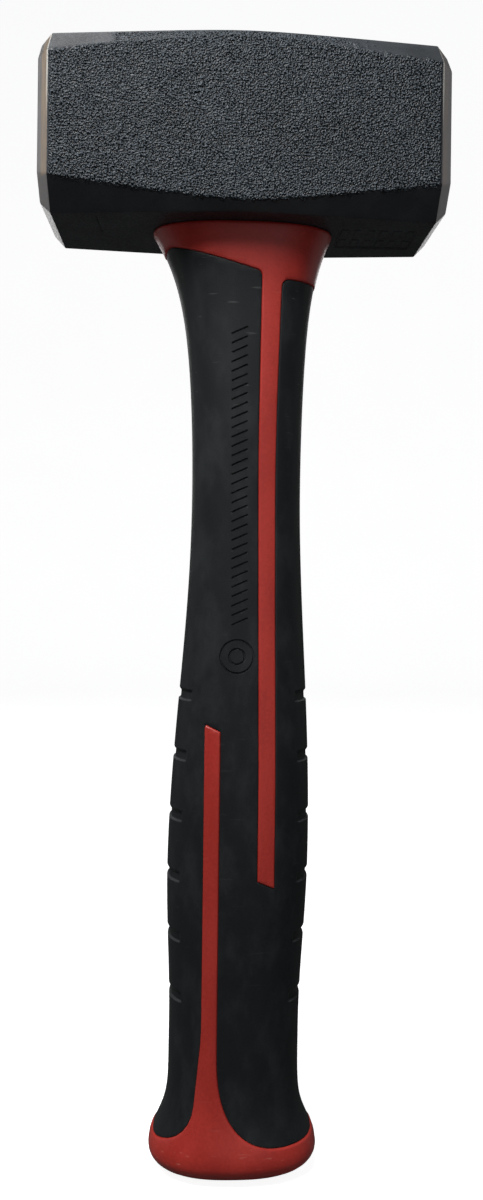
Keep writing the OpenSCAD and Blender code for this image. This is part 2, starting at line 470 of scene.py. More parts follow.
OUTLINES = (collar_outline(), butt_outline())


def softness(where):
    """Distance from the edge between the colours: positive on the soft panels."""
    seen = front_view(where)
    return np.minimum(*(distance_to(outline, seen) for outline in OUTLINES))


# ---------- Relief on the grip ----------

# Band of slanted bars up the front of the neck: heights and sideways places of its two ends,
# the bars' spacing and half sizes, and their slant in degrees
BAND_Z = (146.0, 223.3)
BAND_X = (0.1, -0.75)
BAR_PITCH = 2.45
BAR_HALF = (2.4, 0.3)
BAR_SLANT = 24.0
# Plain double ring below the band
RING_PLACE = (-0.5, 136.9)
RING_RADII = (4.3, 2.0)
RING_HALF = 0.3
# Depth of the bars and rings, and the width of their sloping sides
RELIEF_DEPTH = 0.3
RELIEF_SLOPE = 0.14


def bar_distance(x, z):
    """Distance to the nearest bar of the band: negative inside it."""
    slant = math.radians(BAR_SLANT)
    share = (z - BAND_Z[0]) / (BAND_Z[1] - BAND_Z[0])
    across = x - BAND_X[0] - (BAND_X[1] - BAND_X[0]) * share
    last = int((BAND_Z[1] - BAND_Z[0]) / BAR_PITCH)
    best = np.full(len(x), FAR)
    for neighbour in (-1, 0, 1):
        place = np.round((z - BAND_Z[0]) / BAR_PITCH) + neighbour
        along = z - BAND_Z[0] - np.clip(place, 0, last) * BAR_PITCH
        u = across * math.cos(slant) + along * math.sin(slant)
        v = along * math.cos(slant) - across * math.sin(slant)
        past_end = np.maximum(np.abs(u) - BAR_HALF[0] + BAR_HALF[1], 0)
        best = np.minimum(best, np.hypot(past_end, v) - BAR_HALF[1])
    return best


def relief(where):
    """Distance to the sunk marks on the front of the grip: negative inside them."""
    seen = front_view(where)
    x, z = seen[:, 0], seen[:, 1]
    from_ring = np.hypot(x - RING_PLACE[0], z - RING_PLACE[1])
    rings = np.min([np.abs(from_ring - r) for r in RING_RADII], axis=0) - RING_HALF
    marks = np.minimum(bar_distance(x, z), rings)
    return np.where(np.abs(where[:, 0] - FRONT_TURN) < 45, marks, FAR)


def from_notch(z):
    """Height above the middle of the nearest notch."""
    nearest = np.clip(np.round((z - NOTCH_Z) / NOTCH_PITCH), 0, NOTCH_COUNT - 1)
    return z - NOTCH_Z - nearest * NOTCH_PITCH


def from_side(where):
    """How far inside the handle's front outline a point lies."""
    return section(where[:, 1])[:, 0] / 2 * (1 - np.abs(round_section(where[:, 0])[:, 0]))


def notch_depth(where):
    """Depth of the cross notches down the two narrow sides."""
    above = from_notch(where[:, 1])
    up = 1 - ramp(above, *NOTCH_TOP)
    down = 1 - ramp(-above, *NOTCH_BOTTOM)
    return NOTCH_DEPTH * up * down * (1 - ramp(from_side(where), *NOTCH_REACH))


def notch_lip_wear_and_highlight(where):
    """1 on the lower lip of a notch, where the grip rubs and where a painted highlight stands for
    the light on the up-facing lip.
    """
    above = from_notch(where[:, 1])
    lip = 1 - ramp(np.abs(above + sum(NOTCH_BOTTOM) / 2), *NOTCH_LIP)
    return lip * (1 - ramp(from_side(where), *NOTCH_REACH))


def handle_rows():
    """Heights of the rings of points, closer where the shape needs it."""
    butt = BUTT_Z * (1 - np.cos(np.radians(np.arange(0, 90, 9))))
    middles = NOTCH_Z + NOTCH_PITCH * np.arange(NOTCH_COUNT)
    notches = (middles[:, None] + np.array(NOTCH_ROWS)).ravel()
    rim = HANDLE_LEN - RIM_ROUND * (1 - np.sin(np.radians(np.arange(0, 91, 18))))
    fixed = np.concatenate([butt, notches, rim])
    even = np.arange(BUTT_Z, HANDLE_LEN - RIM_ROUND, 1.7)
    gap = np.abs(even[:, None] - fixed).min(1)
    return np.sort(np.concatenate([fixed, even[gap > 0.5]]))


def handle_sheet():
    """The whole outside of the handle, cut along the edges of the two colours."""
    turns = np.linspace(0, 360, TURNS + 1)
    where = np.stack(np.meshgrid(turns, handle_rows()), 2)
    sheet = Sheet.grid(where)
    sheet.refine(np.abs(softness(sheet.points)) < 1.2)
    steps = (EDGE_STEP, EDGE_ROUND)
    sheet.contours(softness, (0, *steps, *(-step for step in steps)))
    sheet.weld(handle_points(sheet.points, 0))
    return sheet


def grip_sheet(sheet):
    """The same sheet with more points where the grip has its marks and notches."""
    fine = Sheet(sheet.points, sheet.tris)
    for reach in (1.4, 0.7):
        fine.refine((relief(fine.points) < reach) & (softness(fine.points) > EDGE_ROUND))
    end = np.abs(from_side(fine.points) - np.mean(NOTCH_REACH)) < 0.9
    fine.refine(end & (np.abs(from_notch(fine.points[:, 1])) < 2.0))
    fine.contours(relief, (0, -RELIEF_SLOPE))
    return fine


def oval(half_len, half_w, count):
    """Ring of points along an oval with straight sides, starting at +X."""
    a = np.radians(np.arange(count) * 360 / count)
    ends = np.sign(np.cos(a)) * (half_len - half_w) * (np.abs(np.cos(a)) > 1e-9)
    return np.stack([ends + half_w * np.cos(a), half_w * np.sin(a)], 1)


def level_ring(ring, z):
    """Ring of points laid flat at height z."""
    return np.column_stack([ring, np.full(len(ring), z)])


def tube_faces(starts, count):
    """Quads between neighbouring rings of points, given the index of each ring's first point."""
    k = np.arange(count)
    after = (k + 1) % count
    faces = []
    for near, deep in zip(starts[:-1], starts[1:]):
        faces += list(np.stack([near + k, near + after, deep + after, deep + k], 1))
    return faces


def grip_piece(sheet, soft, materials):
    """Soft overmould: outside, inside against the jacket, and the edges between them."""
    fine = grip_sheet(sheet)
    fine_soft = softness(fine.points)
    fine_soft[: len(soft)] = soft
    outside = fine.tris[fine_soft[fine.tris].sum(1) > 0]
    inside = sheet.tris[soft[sheet.tris].sum(1) > 0]
    count = len(fine.points)
    sunk = RELIEF_DEPTH * (1 - ramp(relief(fine.points), -RELIEF_SLOPE, 0))
    depth = edge_drop(np.maximum(fine_soft, 0), EDGE_ROUND) + notch_depth(fine.points) + sunk
    points = [handle_points(fine.points, depth), handle_points(sheet.points, GRIP_T)]
    points = np.concatenate(points)
    rim = rim_edges(inside)
    walls = np.stack([rim[:, 1], rim[:, 0], rim[:, 0] + count, rim[:, 1] + count], 1)
    faces = list(outside) + list(inside[:, ::-1] + count) + list(walls)
    piece, used = make_piece(
        "grip_overmould", points, faces, "grip", materials
    )
    # Lighter lines, partly wear and partly painted highlight: the notches' lower lips, which face
    # up to the light, and a thin line beside the stripes' edges
    lightening = notch_lip_wear_and_highlight(fine.points) + 0.5 * ramp(-np.abs(fine_soft - EDGE_STEP), -0.2, 0)
    add_value(piece.data, "lightening", np.append(lightening, np.zeros(len(sheet.points)))[used])


def jacket_piece(sheet, soft, materials):
    """Hard moulding: collar, stripes and butt at the surface, and the tube under the grip."""
    is_soft = soft[sheet.tris].sum(1) > 0
    hard, tube = sheet.tris[~is_soft], sheet.tris[is_soft]
    count = len(sheet.points)
    outside = edge_drop(np.maximum(-soft, 0), EDGE_ROUND) - PROUD
    points = [handle_points(sheet.points, outside), handle_points(sheet.points, GRIP_T)]
    rim = rim_edges(tube)
    walls = np.stack([rim[:, 0], rim[:, 1], rim[:, 1] + count, rim[:, 0] + count], 1)
    faces = list(hard) + list(tube + count) + list(walls)
    size = 2 * count
    for loop, rings in (
        (ring_at(sheet, 0.0), butt_rings()),
        (ring_at(sheet, HANDLE_LEN)[::-1], bore_rings()[:, ::-1]),
    ):
        points += list(rings)
        faces += cap_faces(loop, size, len(rings))
        size += len(rings) * len(loop)
    points = np.concatenate(points)
    make_piece("jacket_moulding", points, faces, "handle_jacket", materials)


def cap_faces(loop, start, ring_count):
    """Faces from a loop of points through rings of new points, and one that closes the last."""
    width = len(loop)
    first = start + np.arange(ring_count) * width
    k = np.arange(width)
    after = (k + 1) % width
    faces = list(np.stack([loop[after], loop[k], first[0] + k, first[0] + after], 1))
    faces += [face[::-1] for face in tube_faces(first, width)]
    faces.append(k[::-1] + first[-1])
    return faces


def ring_at(sheet, z):
    """Points of the sheet at one of its two ends, in order round the section."""
    level = np.flatnonzero(np.abs(sheet.points[:, 1] - z) < 1e-6)
    return level[np.argsort(sheet.points[level, 0] % 360)]


def butt_rings():
    """Rings that close the butt's flat end, with a shallow moulding dimple in the middle."""
    rim = round_section(np.arange(TURNS) * 360 / TURNS) * section(0.0) / 2
    steps = ((0.9, 0), (0.55, 0), (0.3, 0), (0.27, 0.5), (0.2, 0.6), (0.05, 0.6))
    return np.array([level_ring(scale * rim, lift) for scale, lift in steps])


def bore_rings():
    """Rings from the collar's top face down the bore that holds the rod."""
    ring = oval(*CORE_HALF, TURNS)
    return np.array([level_ring(ring, z) for z in (HANDLE_LEN, CORE_LOW[2])])


# ---------- Shape of the head ----------

# Rounding of the eight long edges, its steps, and the steps along the sides between them
CORNER_ROUND = 0.7
CORNER_STEPS = 2
SIDE_STEPS = (26, 6, 20, 6, 26, 6, 20, 6)


def chamfer_at(x):
    """Chamfer of the head's long edges at distance x from the middle."""
    r, end = CHAMFER_ROUND / 2, HEAD_HALF[0] - FACE_BEVEL
    t = (np.hypot(np.minimum(np.abs(x), end), r) - r) / (math.hypot(end, r) - r)
    return MID_CHAMFER + (END_CHAMFER - MID_CHAMFER) * t


def octagon_ring(x, inset):
    """Ring of points across the head at x, with its sides moved in by inset."""
    half = HEAD_HALF[1] - inset
    cut = max(chamfer_at(x) - (2 - math.sqrt(2)) * inset, 0.04 * half)
    near = half - cut
    quarter = [np.array([half, -near]), np.array([half, near])]
    corners = quarter + [np.array([-y, x]) for x, y in quarter]
    corners += [-corner for corner in corners]
    arcs = [
        bend(corners[k - 1], corners[k], corners[(k + 1) % 8], CORNER_ROUND, CORNER_STEPS)
        for k in range(8)
    ]
    ring = []
    for k, steps in enumerate(SIDE_STEPS):
        ring += list(arcs[k][:-1])
        start, end = arcs[k][-1], arcs[(k + 1) % 8][0]
        t = np.linspace(0, 1, steps + 1)[:-1, None]
        ring += list(start + (end - start) * t)
    ring = np.array(ring)
    return np.column_stack([np.full(len(ring), x), ring[:, 0], ring[:, 1] + HEAD_MIDDLE_Z])


def end_profile():
    """Path over the bevel and the striking face, as [distance from the middle, inset]."""
    end = HEAD_HALF[0]
    start = (end - FACE_BEVEL - 2, 0)
    knee = (end - FACE_BEVEL, 0)
    edge = (end, FACE_BEVEL)
    middle = (end, HEAD_HALF[1])
    slope = np.linspace(0.25, 0.75, 3)[:, None]
    return np.concatenate(
        [
            bend(start, knee, edge, 0.5, 3),
            np.array(knee) + (np.array(edge) - knee) * slope,
            bend(knee, edge, middle, 1.0, 4),
            [(end, FACE_BEVEL + s) for s in (1, 3, 6, 10, 14, 18)],
        ]
    )


def head_sheet():
    """The outside of the head but for the last small opening in each striking face."""
    profile = end_profile()
    body = np.linspace(-1, 1, 74)[1:-1] * (HEAD_HALF[0] - FACE_BEVEL)
    rings = [octagon_ring(-x, inset) for x, inset in profile[::-1]]
    rings += [octagon_ring(x, 0) for x in body]
    rings += [octagon_ring(x, inset) for x, inset in profile]
    rings = np.array(rings)
    rings = np.concatenate([rings, rings[:, :1]], 1)
    return Sheet.grid(rings)


def on_top(points):
    return points[:, 2] > HEAD_HIGH[2] - NEAR


def on_underside(points):
    return points[:, 2] < HEAD_LOW[2] + NEAR


def eye_outline():
    """Outline of the eye at its mouths."""
    turn = np.radians(np.linspace(-90, 90, 40))
    radius, reach = EYE_W / 2 + EYE_FLARE, (EYE_LEN - EYE_W) / 2
    right = np.stack([reach + radius * np.cos(turn), radius * np.sin(turn)], 1)
    return np.concatenate([right, -right])


def eye_distance(points):
    """Distance to the eye's mouths in the top and the underside: negative inside them."""
    distance = distance_to(eye_outline(), points[:, :2])
    return np.where(on_top(points) | on_underside(points), distance, FAR)


def pad_distance(points):
    """Distance to the shallow pad in the underside: negative inside."""
    left, right, half = PAD
    corners = [(left, -half), (right, -half), (right, half), (left, half)]
    distance = distance_to(rounded_path(corners, [PAD_ROUND] * 4), points[:, :2])
    return np.where(on_underside(points), distance, FAR)


def block_distance(points):
    """Distance to the plain raised blocks in the pad: negative inside them."""
    left, right, half = PAD
    pitch = (right - left) / BLOCK_COLUMNS
    along = np.abs((points[:, 0] - left) % pitch - pitch / 2) - BLOCK_HALF[0]
    across = np.abs(np.abs(points[:, 1]) - half / 2) - BLOCK_HALF[1]
    blocks = np.maximum(np.maximum(along, across), pad_distance(points) + BLOCK_MARGIN)
    return np.where(on_underside(points), blocks, FAR)


def scratch_distance(points):
    """Distance to a short scratch in the underside."""
    start, end = np.array(SCRATCH[0]), np.array(SCRATCH[1])
    step = end - start
    t = np.clip((points[:, :2] - start) @ step / (step @ step), 0, 1)
    distance = np.linalg.norm(points[:, :2] - start - t[:, None] * step, axis=1)
    return np.where(on_underside(points), distance, FAR)


def skin_zone(points):
    """Where the head may be pebbled: the cheeks, their edges and part of the top chamfers."""
    x, y, z = points.T
    on_side = np.abs(y) > HEAD_HALF[1] - 1.0
    on_chamfer = (z > HEAD_MIDDLE_Z) & (z < HEAD_HIGH[2] - 0.4) & (np.abs(x) < SKIN_REACH)
    return (np.abs(x) < HEAD_HALF[0] - FACE_BEVEL + NEAR) & (on_side | on_chamfer)


def pebble_height(points):
    """Forged skin: irregular pebbles, from about -1 to 1."""
    heights = np.zeros(len(points))
    for i, (x, y, z) in enumerate(points):
        side = 40.0 if y > 0 else 0.0
        warp = 0.5 * noise.noise(Vector((x / 2.4, z / 2.4, side + 7)))
        coarse = noise.noise(Vector((x / 0.56 + warp, z / 0.5 - warp, side)))
        fine = noise.noise(Vector((x / 0.41, z / 0.39, side + 3 + warp)))
        heights[i] = coarse + 0.6 * fine
    return heights


def skin_amount(points):
    """1 where the forged skin is pebbled, 0 where the head is smooth."""
    x, _, z = points.T
    up = z - HEAD_MIDDLE_Z
    ragged = np.array([noise.noise(Vector((a / 1.3, b / 1.3, 11))) for a, b in zip(x, z)])
    limit = HEAD_HALF[2] - chamfer_at(x)
    # Pebbles run just past the cheek's lower edge
    over_bottom = ramp(up + limit + 0.9 * ragged, -0.7, -0.1)
    # Near the middle they wrap over the top chamfer, and elsewhere they end at its edge
    wrap = ramp(33 + 9 * ragged - np.abs(x + 6), -6, 5)
    over_top = 1 - (1 - wrap) * ramp(up - limit + 0.8 * ragged, -0.5, 0.2)
    over_top *= 1 - ramp(up, HEAD_HALF[2] - 0.7, HEAD_HALF[2] - 0.2)
    end = ramp(HEAD_HALF[0] - FACE_BEVEL - np.abs(x), 0.1, 0.7)
    return over_bottom * over_top * end * skin_zone(points)


def middle_of(points, tris):
    return points[tris].mean(1)


def cut_head_sheet():
    """The head's sheet with points for its skin and edges, and the eye's mouths cut out."""
    sheet = head_sheet()
    for _ in range(2):
        sheet.refine(skin_zone(sheet.points))
    for reach in (2.0, 0.6):
        in_reach = np.minimum(pad_distance(sheet.points), scratch_distance(sheet.points)) < reach
        sheet.refine(in_reach)
    sheet.contours(eye_distance, (0, 0.3, EYE_EDGE))
    sheet.contours(pad_distance, (0.25, 0, -0.25, -0.5))
    sheet.contours(block_distance, (0.15, -0.15))
    sheet.contours(scratch_distance, (SCRATCH_HALF, SCRATCH_HALF / 3))
    sheet.weld(sheet.points)
    sheet.tris = sheet.tris[eye_distance(middle_of(sheet.points, sheet.tris)) > 0]
    return sheet


def worked_points(flat, height, amount):
    """The head's points with its skin, rounded eye, pad, blocks and scratch."""
    points = flat.copy()
    outwards = np.zeros_like(points)
    outwards[:, 1] = np.sign(points[:, 1])
    outwards[:, 2] = ramp(points[:, 2], HEAD_HIGH[2] - 3, HEAD_HIGH[2] - 2)
    points += outwards * (SKIN_DEPTH * height * amount)[:, None]
    opening = EYE_EDGE * 0.6 * (1 - ramp(eye_distance(flat), 0, EYE_EDGE))
    points[:, 2] += np.where(on_top(flat), -opening, 0)
    points[:, 2] += np.where(on_underside(flat), opening, 0)
    sunk = PAD_DEPTH * (1 - ramp(pad_distance(flat), -0.4, 0.1))
    points[:, 2] += sunk - BLOCK_HEIGHT * (1 - ramp(block_distance(flat), -0.15, 0.15))
    scratched = 1 - ramp(scratch_distance(flat), SCRATCH_HALF / 3, SCRATCH_HALF)
    points[:, 2] += SCRATCH_DEPTH * scratched
    return points


def head_piece(materials):
    """Forged head with the eye through it. Its end bevels and faces are bare steel."""
    sheet = cut_head_sheet()
    amount = skin_amount(sheet.points)
    pebbled = amount > 0
    height = np.zeros(len(amount))
    height[pebbled] = pebble_height(sheet.points[pebbled])
    points = worked_points(sheet.points, height, amount)
    faces = list(sheet.tris)
    tags = list(np.abs(middle_of(points, sheet.tris)[:, 0]) > HEAD_HALF[0] - FACE_BEVEL + 0.02)
    points, walls = eye_walls(points, sheet)
    faces += walls
    tags += [0] * len(walls)
    for loop in face_loops(sheet):
        faces.append(loop)
        tags.append(1)
    piece, used = make_piece(
        "head_forging", points, faces, "hammer_head", materials, tags
    )
    extra = len(points) - len(height)
    add_value(piece.data, "pebble", np.append(height, np.zeros(extra))[used])
    add_value(piece.data, "skin", np.append(amount, np.zeros(extra))[used])


def face_loops(sheet):
    """The small opening left in the middle of each striking face, as a loop of points."""
    loops = []
    for side in (-1, 1):
        at_end = side * sheet.points[:, 0] > HEAD_HALF[0] - NEAR
        rim = np.array([e for e in rim_edges(sheet.tris) if at_end[e].all()])
        loops.append(chain(rim)[::-1])
    return loops


def chain(edges):
    """Orders directed edges head to tail into one loop of points."""
    after = {int(a): int(b) for a, b in edges}
    start = int(edges[0][0])
    loop, here = [start], after[start]
    while here != start:
        loop.append(here)
        here = after[here]
    return loop


def eye_oval(z):
    """Section of the eye at height z."""
    shift = EYE_FLARE * abs(z - HEAD_MIDDLE_Z) / HEAD_HALF[2]
    return oval(EYE_LEN / 2 + shift, EYE_W / 2 + shift, EYE_COUNT)


def eye_walls(points, sheet):
    """Walls of the eye, from mouth to mouth."""
    rim = rim_edges(sheet.tris)
    near_eye = np.abs(sheet.points[:, 0]) < HEAD_HALF[0] / 2
    levels = HEAD_MIDDLE_Z + np.array([0.9, 0.5, 0, -0.5, -0.9]) * HEAD_HALF[2]
    rings = [level_ring(eye_oval(z), z) for z in levels]
    first = len(points) + np.arange(len(levels)) * EYE_COUNT
    points = np.concatenate([points] + rings)
    faces = tube_faces(first, EYE_COUNT)
    for is_mouth, ring_start, flip in (
        (on_top(sheet.points), first[0], False),
        (on_underside(sheet.points), first[-1], True),
    ):
        own = np.array([e for e in rim if is_mouth[e].all() and near_eye[e].all()])
        faces += zip_loops(points, chain(own), ring_start + np.arange(EYE_COUNT), flip)
    return points, faces


def zip_loops(points, mouth, ring, flip):
    """Triangles between a mouth's loop and a ring with another number of points."""

    def by_angle(loop):
        loop = np.asarray(loop)
        angle = np.arctan2(points[loop, 1], points[loop, 0]) % (2 * np.pi)
        order = np.argsort(angle)
        return loop[order], angle[order]

    outer, outer_angle = by_angle(mouth)
    inner, inner_angle = by_angle(ring)
    outer_angle = np.append(outer_angle, outer_angle[0] + 2 * np.pi)
    inner_angle = np.append(inner_angle, inner_angle[0] + 2 * np.pi)
    faces, i, j = [], 0, 0
    while i < len(outer) or j < len(inner):
        a, b = outer[i % len(outer)], inner[j % len(inner)]
        step_outer = j == len(inner) or (
            i < len(outer) and outer_angle[i + 1] <= inner_angle[j + 1]
        )
        if step_outer:
            i += 1
            face = (a, outer[i % len(outer)], b)
        else:
            j += 1
            face = (a, inner[j % len(inner)], b)
        faces.append(face[::-1] if flip else face)
    return faces


# ---------- Resin and rod in the eye ----------


def resin_piece(materials):
    """Resin between the eye's wall and the rod. Its top sags between the two."""
    top, bottom = RESIN_HIGH[2], RESIN_LOW[2]
    path = [(0, bottom)]
    path += [(1, bottom + (top - bottom) * t) for t in (0, 0.25, 0.5, 0.75)]
    for share in (1, 0.97, 0.9, 0.75, 0.5, 0.25, 0.1, 0.03, 0):
        path.append((share, top - RESIN_SAG * math.sin(math.pi * share) ** 0.6))
    rod = oval(*CORE_HALF, EYE_COUNT)
    rings = [level_ring(blend(rod, eye_oval(z), share), z) for share, z in path]
    starts = np.arange(len(rings) + 1) % len(rings) * EYE_COUNT
    faces = tube_faces(starts, EYE_COUNT)
    points = np.concatenate(rings)
    make_piece("resin_fill", points, faces, "eye_resin", materials)


def core_piece(materials):
    """Fibreglass rod with lightly broken edges at its sawn ends."""
    low, high, edge = CORE_LOW[2], CORE_HIGH[2], 0.35
    steps = [(0.5, low), (edge, low), (0, low + edge)]
    steps += [(0, low + (high - low) * t) for t in (0.2, 0.4, 0.6, 0.8, 0.95)]
    steps += [(0, high - edge), (0.1, high - 0.1), (edge, high), (2, high), (5, high)]
    rings = [level_ring(oval(*(CORE_HALF - inset), EYE_COUNT), z) for inset, z in steps]
    starts = np.arange(len(rings)) * EYE_COUNT
    end = np.arange(EYE_COUNT)
    faces = [end[::-1]] + tube_faces(starts, EYE_COUNT) + [starts[-1] + end]
    points = np.concatenate(rings)
    make_piece("core_rod", points, faces, "fibreglass_core", materials)


# ---------- Materials ----------


class Shader:
    """A material's node tree, built one node at a time."""

    def __init__(self, name):
        self.material = bpy.data.materials.new(name)
        self.material.use_nodes = True
        self.tree = self.material.node_tree
        self.surface = self.tree.nodes["Principled BSDF"]
        self.place = self.add("ShaderNodeTexCoord").outputs["Object"]

    def add(self, kind, inputs=None, **settings):
        node = self.tree.nodes.new(kind)
        for key, value in settings.items():
            setattr(node, key, value)
        for key, value in (inputs or {}).items():
            self.set(node, key, value)
        return node

    def set(self, node, key, value):
        if isinstance(value, bpy.types.NodeSocket):
            self.tree.links.new(value, node.inputs[key])
        else:
            node.inputs[key].default_value = value

    def noise(self, size, detail=3.0, rough=0.55, scale=(1, 1, 1)):
        """Noise whose features are about size millimetres, divided by scale on each axis."""
        scaled = self.add(
            "ShaderNodeMapping", {"Vector": self.place, "Scale": scale}
        ).outputs[0]
        return self.add(
            "ShaderNodeTexNoise",
            {"Vector": scaled, "Scale": 1 / (size * MM), "Detail": detail, "Roughness": rough},
        ).outputs["Fac"]

    def range(self, value, low, high, to_low, to_high):
        """Smooth change from to_low to to_high as value goes from low to high."""
        return self.add(
            "ShaderNodeMapRange",
            {0: value, 1: low, 2: high, 3: to_low, 4: to_high},
            interpolation_type="SMOOTHSTEP",
        ).outputs[0]

    def mix(self, factor, a, b):
        node = self.add("ShaderNodeMix", data_type="RGBA")
        self.set(node, 0, factor)
        self.set(node, 6, a)
        self.set(node, 7, b)
        return node.outputs[2]

    def math(self, kind, a, b):
        node = self.add("ShaderNodeMath", operation=kind)
        self.set(node, 0, a)
        self.set(node, 1, b)
        return node.outputs[0]

    def times(self, a, b):
        return self.math("MULTIPLY", a, b)

    def axis(self, index):
        """Place along one axis, in metres: 0 is X and 2 is Z."""
        return self.add("ShaderNodeSeparateXYZ", {0: self.place}).outputs[index]

    def value(self, name):
        """Number that a mesh stores at its points."""
        return self.add("ShaderNodeAttribute", attribute_name=name).outputs["Fac"]

    def bump(self, height, depth):
        """Bump of about depth millimetres."""
        inputs = {"Height": height, "Distance": depth * MM, "Strength": 1.0}
        return self.add("ShaderNodeBump", inputs).outputs[0]

    def finish(self, **inputs):
        for key, value in inputs.items():
            self.set(self.surface, key.replace("_", " "), value)
        return self.material


def rgb(*parts):
    return (*parts, 1.0)


def forged_paint():
    """Dark grey paint over the forged skin. Its colour follows the pebbles' height: painted shade
    makes the hollows nearly black, and the crests are light, partly from wear and partly as a
    painted highlight.
    """
    s = Shader("forged_paint")
    painted_hollow_shade, worn_and_lit_crests = rgb(0.002, 0.003, 0.004), rgb(0.040, 0.051, 0.062)
    dull, fresh = rgb(0.020, 0.022, 0.025), rgb(0.033, 0.036, 0.040)
    skin, pebble = s.value("skin"), s.value("pebble")
    grain = s.noise(0.45, 0)
    patch = s.noise(12, 3)
    speck = s.times(s.math("SUBTRACT", grain, 0.5), 3.3)
    tone = s.math("ADD", s.times(pebble, 0.6), speck)
    tone = s.math("ADD", tone, s.range(patch, 0.3, 0.7, -0.1, 0.1))
    # Painted shade and highlight: the colour follows the pebbles' height, from near black in the
    # hollows, where shade would fall, to light on the crests, which are also worn
    pebbles = s.mix(s.range(tone, -0.35, 0.5, 0, 1), painted_hollow_shade, worn_and_lit_crests)
    smooth = s.mix(s.range(patch, 0.3, 0.7, 0, 1), dull, fresh)
    color = s.mix(skin, smooth, pebbles)
    rough = s.range(grain, 0.3, 0.7, 0.34, 0.5)
    normal = s.bump(s.times(grain, s.range(skin, 0, 1, 0.1, 1)), 0.6)
    return s.finish(Base_Color=color, Roughness=rough, Specular_IOR_Level=0.25, Normal=normal)


def ground_steel():
    """Bare steel with grinding lines, a painted warm reflection on the cheek side of each bevel
    that is strongest at the left end, and a painted highlight along its top.
    """
    s = Shader("ground_steel")
    steel, painted_warm_reflection = rgb(0.33, 0.32, 0.32), rgb(0.48, 0.38, 0.29)
    # The last colour here is the painted highlight on the bevel's inner edge
    groove, bright = rgb(0.2, 0.19, 0.18), rgb(0.95, 0.92, 0.85)
    lines = s.noise(0.25, 3, 0.7, (0.6, 1, 0.03))
    patchy = s.range(s.noise(9, 3), 0.3, 0.6, 0.6, 1)
    x, z = s.axis(0), s.axis(2)
    outwards = s.math("ABSOLUTE", x, 0)
    end, low = HEAD_HALF[0] * MM, (HEAD_LOW[2] + END_CHAMFER) * MM
    # The painted warm reflection ends half way over the bevel and at the lower chamfer, and is
    # weaker on the right end, away from the light
    inner = s.range(outwards, end - 0.0014, end - 0.0010, 1, 0)
    above = s.range(z, low - 0.0002, low + 0.0002, 0, 1)
    left = s.range(x, -0.03, 0.03, 1, 0.25)
    warm_reflection_share = s.times(s.times(left, patchy), s.times(inner, above))
    color = s.mix(warm_reflection_share, steel, painted_warm_reflection)
    color = s.mix(s.range(lines, 0.35, 0.65, 0.5, 0), color, groove)
    # A painted highlight: a bright line on the bevel's inner edge, standing for the light its
    # rounding catches from above. It fades out downwards
    painted_edge_highlight = s.range(outwards, end - 0.0027, end - 0.0024, 1, 0)
    high = s.range(z, low + 0.012, low + 0.026, 0, 1)
    color = s.mix(s.times(painted_edge_highlight, high), color, bright)
    rough = s.range(lines, 0.3, 0.7, 0.3, 0.5)
    normal = s.bump(lines, 0.02)
    return s.finish(Base_Color=color, Metallic=0.85, Roughness=rough, Normal=normal)


def red_plastic():
    """Satin moulded polypropylene with a fine grain, faint flow marks and scuffs on the butt."""
    s = Shader("red_plastic")
    deep, pale, scuffed = rgb(0.29, 0.020, 0.0145), rgb(0.37, 0.028, 0.020), rgb(0.6, 0.26, 0.2)
    mottle = s.noise(0.8, 3, 0.6)
    flow = s.noise(11, 3, 0.5, (1, 1, 0.35))
    scuff = s.noise(1.6, 2, 0.5, (0.3, 1, 2.2))
    tone = s.math("ADD", s.times(flow, 0.6), s.times(mottle, 0.4))
    color = s.mix(s.range(tone, 0.35, 0.65, 0, 1), deep, pale)
    at_butt = s.range(s.axis(2), 0.004, 0.012, 1, 0.08)
    lightening = s.times(s.range(scuff, 0.64, 0.76, 0, 0.45), at_butt)
    color = s.mix(lightening, color, scuffed)
    rough = s.range(flow, 0.3, 0.7, 0.36, 0.48)
    normal = s.bump(s.noise(0.35, 2), 0.02)
    return s.finish(Base_Color=color, Roughness=rough, Specular_IOR_Level=0.35, Normal=normal)


def black_rubber():
    """Matte soft plastic with a fine moulded grain, dusty rub marks, a few light scratches, and
    lighter lines on the notches' lower lips and beside the stripes, partly wear and partly
    painted highlight.
    """
    s = Shader("black_rubber")
    clean, dusty = rgb(0.0060, 0.0074, 0.0084), rgb(0.0130, 0.0150, 0.0162)
    rubbed_and_lit, scratched = rgb(0.055, 0.058, 0.06), rgb(0.05, 0.055, 0.055)
    rub = s.noise(7, 5, 0.65, (1, 1, 0.5))
    scratch = s.noise(2.6, 1, 0.5, (0.25, 1, 3))
    color = s.mix(s.range(rub, 0.42, 0.72, 0, 1), clean, dusty)
    # Lighter lines from the mesh's stored values: partly rub wear and partly a painted highlight
    # on the notches' up-facing lips and beside the stripes' edges
    color = s.mix(s.times(s.value("lightening"), 0.3), color, rubbed_and_lit)
    # Most of the scratches are near the top of the handle
    upper = s.range(s.axis(2), 0.19, 0.21, 0.15, 0.8)
    scratches = s.times(s.range(scratch, 0.71, 0.79, 0, 0.8), upper)
    color = s.mix(scratches, color, scratched)
    rough = s.range(rub, 0.3, 0.7, 0.50, 0.62)
    normal = s.bump(s.noise(0.3, 2), 0.035)
    return s.finish(Base_Color=color, Roughness=rough, Specular_IOR_Level=0.22, Normal=normal)


